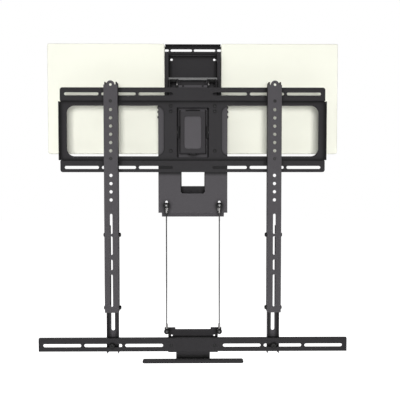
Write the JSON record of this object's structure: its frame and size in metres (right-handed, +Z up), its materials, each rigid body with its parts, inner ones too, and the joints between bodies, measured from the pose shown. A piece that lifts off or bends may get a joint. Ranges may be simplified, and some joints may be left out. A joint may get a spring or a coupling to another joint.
{
  "type": "pull-down tv wall mount",
  "caption": "Pull-down wall mount for a television: wall plate with covers, folding lift arms, swivel and tilt head, slotted front frame with hooked rails, and a crossbar with pull handle.",
  "frame": {"origin": "middle of the wall plate's back face, on the wall plane, midway between its four outer slots", "axes": "+Y into the wall, +Z up, +X to the right of a viewer in the room"},
  "size_m": [0.766, 0.1423, 0.82],
  "materials": {
    "black_powder_coat": "satin fine-texture powder coat",
    "frame_powder_coat": "satin fine-texture powder coat",
    "rail_powder_coat": "satin fine-texture powder coat",
    "cover_cream": "matte, paintable",
    "zinc_steel": "zinc plated",
    "black_fasteners": "black oxide",
    "bright_rod": "dull plated steel",
    "strut_black": "semi-gloss paint",
    "rubber_black": "matte",
    "bush_plastic": "natural acetal",
    "moulded_black": "fine moulded grain",
    "moulded_grey": "fine moulded grain",
    "cable_steel": "stranded wire"
  },
  "bodies": {
    "wall_bracket": {"wall_plate": "black_powder_coat", "centre_channel": "black_powder_coat", "channel_rivets": "black_powder_coat", "right_cover": "cover_cream", "left_cover": "cover_cream", "pivot_lug_plates": "black_powder_coat", "strut_anchor_lugs": "black_powder_coat", "stop_bar": "bright_rod", "lug_pivot_bolts": "zinc_steel", "cheek_pivot_bolts": "zinc_steel", "link_pivot_bolts": "zinc_steel"},
    "lift_arms": {"right_lift_arm": "black_powder_coat", "left_lift_arm": "black_powder_coat", "arm_brace": "black_powder_coat", "arm_bushings": "bush_plastic", "arm_buffers": "rubber_black", "right_strut_cylinder": "strut_black", "left_strut_cylinder": "strut_black", "strut_top_pins": "zinc_steel"},
    "strut_rods": {"right_strut_rod": "bright_rod", "left_strut_rod": "bright_rod"},
    "link_bars": {"right_link_bar": "black_powder_coat", "left_link_bar": "black_powder_coat"},
    "head": {"head_column": "rail_powder_coat", "head_pivot_bolts": "zinc_steel", "head_link_bolts": "zinc_steel", "swivel_pin": "zinc_steel", "swivel_washers": "bush_plastic"},
    "swivel": {"swivel_block": "black_powder_coat", "swivel_cover": "moulded_black", "cover_pad": "moulded_grey"},
    "tv_frame": {"tilt_pin": "zinc_steel", "tv_plate": "rail_powder_coat", "frame_panel": "frame_powder_coat", "top_rail": "frame_powder_coat", "bottom_rail": "frame_powder_coat", "frame_screws": "black_fasteners", "side_screws": "black_fasteners", "right_tv_rail": "rail_powder_coat", "left_tv_rail": "rail_powder_coat", "rail_hooks": "frame_powder_coat", "rail_lock_screws": "black_fasteners", "right_extension": "rail_powder_coat", "left_extension": "rail_powder_coat", "extension_bolts": "black_fasteners", "crossbar": "frame_powder_coat", "crossbar_bolts": "black_fasteners", "centre_hanger": "frame_powder_coat", "hanger_bolts": "black_fasteners", "pull_handle": "frame_powder_coat", "handle_screws": "black_fasteners", "right_cable": "cable_steel", "left_cable": "cable_steel", "cable_eyes": "zinc_steel", "cable_bolts": "black_fasteners"}
  },
  "joints": [
    {"name": "lift", "type": "hinge", "parent": "wall_bracket", "child": "lift_arms", "pos_m": [0, -0.028, -0.262], "axis": [1, 0, 0], "range_deg": [0, 150]},
    {"name": "link_turn", "type": "hinge", "parent": "wall_bracket", "child": "link_bars", "pos_m": [0, -0.028, -0.297], "axis": [1, 0, 0], "range_deg": [0, 150]},
    {"name": "head_level", "type": "hinge", "parent": "lift_arms", "child": "head", "pos_m": [0, -0.05599, 0.02866], "axis": [1, 0, 0], "range_deg": [-150, 0]},
    {"name": "strut_slide", "type": "slide", "parent": "lift_arms", "child": "strut_rods", "axis": [0, -0.0958, 0.9954], "range_m": [0, 0.05024]},
    {"name": "swivel", "type": "hinge", "parent": "head", "child": "swivel", "pos_m": [0, -0.088, -0.0975], "axis": [0, 0, 1], "range_deg": [-12, 12]},
    {"name": "tilt", "type": "hinge", "parent": "swivel", "child": "tv_frame", "pos_m": [0, -0.0985, -0.0975], "axis": [1, 0, 0], "range_deg": [-5, 5]}
  ],
  "couplings": [
    {"joint": "link_turn", "follows": "lift", "ratio": 1},
    {"joint": "head_level", "follows": "lift", "ratio": -1},
    {"joint": "strut_slide", "follows": "lift", "m_per_rad": 0.019186}
  ]
}
